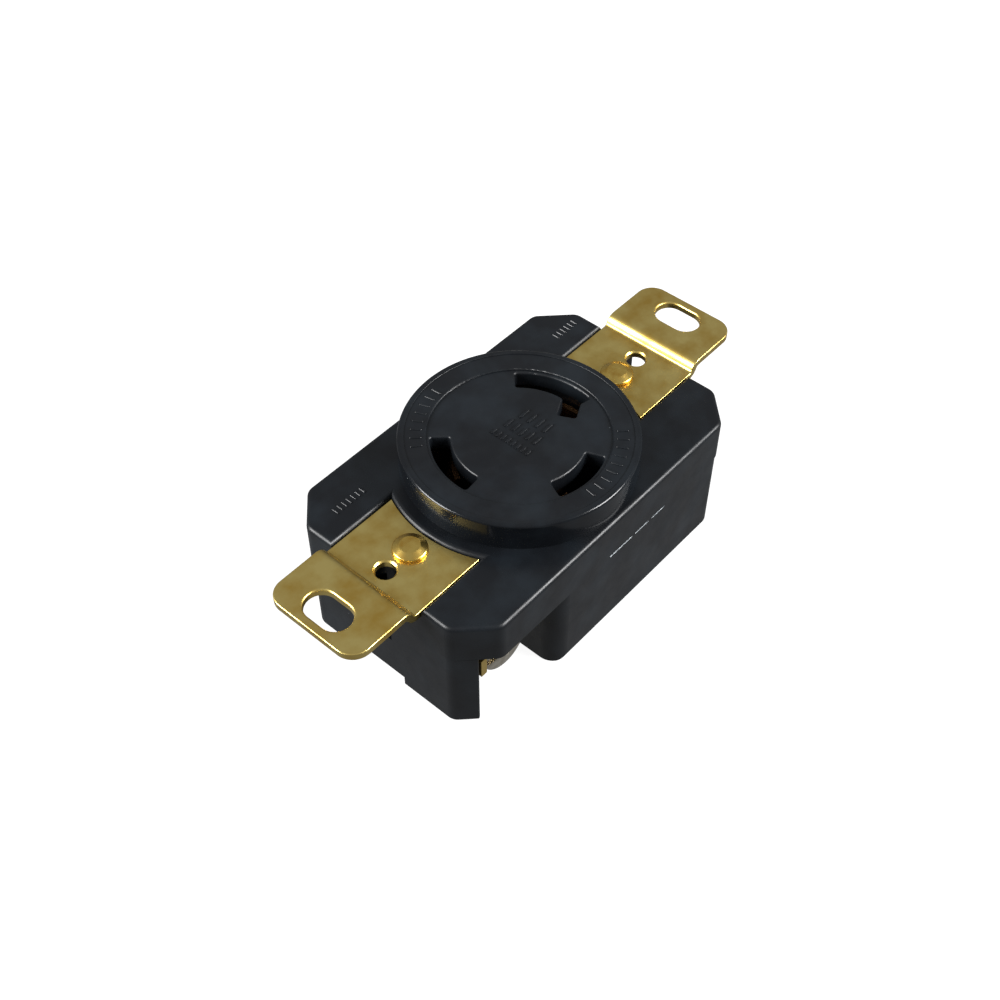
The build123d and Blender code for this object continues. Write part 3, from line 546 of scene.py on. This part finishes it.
class BuildFlash(bpy.types.Operator):
    """Build the slivers of resin that stand out along the parting line on one side, coloured pale as a
    painted glint
    """
    bl_idname = "receptacle.build_flash"
    bl_label = "Build parting flash"

    def execute(self, context):
        made = bmesh.new()
        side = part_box("rear_body")[0].y
        level = HOUSING_LOW.z - 0.08 * MM
        # each sliver's start and end along x, and its width
        for start, end, width in ((-1.4, 4.2, 0.16), (5.0, 8.4, 0.1), (9.2, 12.6, 0.08)):
            centre = Vector(((start + end) / 2 * MM, side, level))
            length = (end - start) * MM
            rounded_bar(
                made, centre, Vector((1, 0, 0)), length, width * MM, 0.11 * MM, Vector((0, -1, 0)))
        mesh = bpy.data.meshes.new("parting_flash_mesh")
        made.to_mesh(mesh)
        made.free()
        # the slivers carry a painted highlight: pale grey that stands for the glint on the parting line
        mesh_object("parting_flash", mesh, "root")
        mesh.materials.append(painted_glint_flash())
        return {"FINISHED"}


class BuildStage(bpy.types.Operator):
    """Lay the floor, set the studio light and place the camera"""
    bl_idname = "receptacle.build_stage"
    bl_label = "Build stage"

    def execute(self, context):
        settings = context.scene.receptacle_stage
        self.lay_floor()
        self.hang_lights()
        camera = bpy.data.objects.new("camera", bpy.data.cameras.new("camera"))
        context.scene.collection.objects.link(camera)
        camera.data.lens = settings.lens
        camera.data.sensor_width = 36
        camera.data.clip_start = 0.005
        camera.data.clip_end = 20
        camera.location = settings.eye
        look = Vector(settings.aim) - Vector(settings.eye)
        camera.rotation_euler = look.to_track_quat("-Z", "Y").to_euler()
        context.scene.camera = camera
        context.scene.view_settings.view_transform = "Standard"
        return {"FINISHED"}

    def lay_floor(self):
        """A white sheet under the object, far larger than any view of it."""
        half = 3.0
        made = bmesh.new()
        outline = ((-half, -half), (half, -half), (half, half), (-half, half))
        made.faces.new([made.verts.new((x, y, BACK_LEVEL)) for x, y in outline])
        mesh = bpy.data.meshes.new("floor")
        made.to_mesh(mesh)
        made.free()
        floor = bpy.data.objects.new("floor", mesh)
        bpy.context.scene.collection.objects.link(floor)
        material, tree, shader = new_material("Paper, matt white, lit from below")
        shader.inputs["Base Color"].default_value = linear("#606060")
        shader.inputs["Roughness"].default_value = 0.9
        shader.inputs["Emission Color"].default_value = (1, 1, 1, 1)
        shader.inputs["Emission Strength"].default_value = 0.93
        mesh.materials.append(material)
        floor.visible_glossy = False
        floor.visible_diffuse = False

    def hang_lights(self):
        """A pale tent, dim level with the object, and two soft boxes that draw the edges."""
        world = bpy.data.worlds.new("studio tent")
        world.use_nodes = True
        bpy.context.scene.world = world
        tree = world.node_tree
        tree.nodes.clear()
        way = add_node(tree, "ShaderNodeTexCoord").outputs["Generated"]
        height = add_node(tree, "ShaderNodeSeparateXYZ", None, {"Vector": way}).outputs[2]
        above = ramp(tree, height, 0.1, 0.6, 0.22, 0.38)
        below = ramp(tree, height, -0.5, 0.05, 0.07, 0.0)
        strength = add_node(tree, "ShaderNodeMath", {"operation": "ADD"}, {0: above, 1: below}).outputs[0]
        light = add_node(tree, "ShaderNodeBackground", {"Color": (1, 1, 1, 1)}, {"Strength": strength})
        add_node(tree, "ShaderNodeOutputWorld", None, {"Surface": light.outputs[0]})
        for name, place, width, watts in (
            ("left soft box", (-0.54, 0.36, 0.31), 0.36, 12.0),
            ("right soft box", (0.31, -0.54, 0.36), 0.32, 12.0),
        ):
            lamp = bpy.data.lights.new(name, "AREA")
            lamp.shape = "SQUARE"
            lamp.size = width
            lamp.energy = watts
            holder = bpy.data.objects.new(name, lamp)
            bpy.context.scene.collection.objects.link(holder)
            holder.location = place
            holder.rotation_euler = (-Vector(place)).to_track_quat("-Z", "Y").to_euler()


class ReceptaclePanel(bpy.types.Panel):
    """Lists the steps that finish the receptacle"""
    bl_idname = "VIEW3D_PT_receptacle"
    bl_label = "Receptacle"
    bl_space_type = "VIEW_3D"
    bl_region_type = "UI"
    bl_category = "Receptacle"

    def draw(self, context):
        layout = self.layout
        for step in STEPS:
            layout.operator(step.bl_idname)
        for group, names in SETTINGS.items():
            box = layout.box()
            for name in names.__annotations__:
                box.prop(getattr(context.scene, group), name)


STEPS = (FinishBody, FinishStrap, FinishContacts, BuildScrews, BuildMarks, BuildFlash, BuildStage)
SETTINGS = {
    "receptacle_body": BodySettings,
    "receptacle_brass": BrassSettings,
    "receptacle_screws": ScrewSettings,
    "receptacle_stage": StageSettings,
}


def register():
    for group, settings in SETTINGS.items():
        bpy.utils.register_class(settings)
        setattr(bpy.types.Scene, group, bpy.props.PointerProperty(type=settings))
    for step in (*STEPS, ReceptaclePanel):
        bpy.utils.register_class(step)


def unregister():
    for step in (ReceptaclePanel, *reversed(STEPS)):
        bpy.utils.unregister_class(step)
    for group, settings in SETTINGS.items():
        delattr(bpy.types.Scene, group)
        bpy.utils.unregister_class(settings)


def main():
    register()
    for step in STEPS:
        family, name = step.bl_idname.split(".")
        getattr(getattr(bpy.ops, family), name)()


if __name__ == "__main__":
    main()
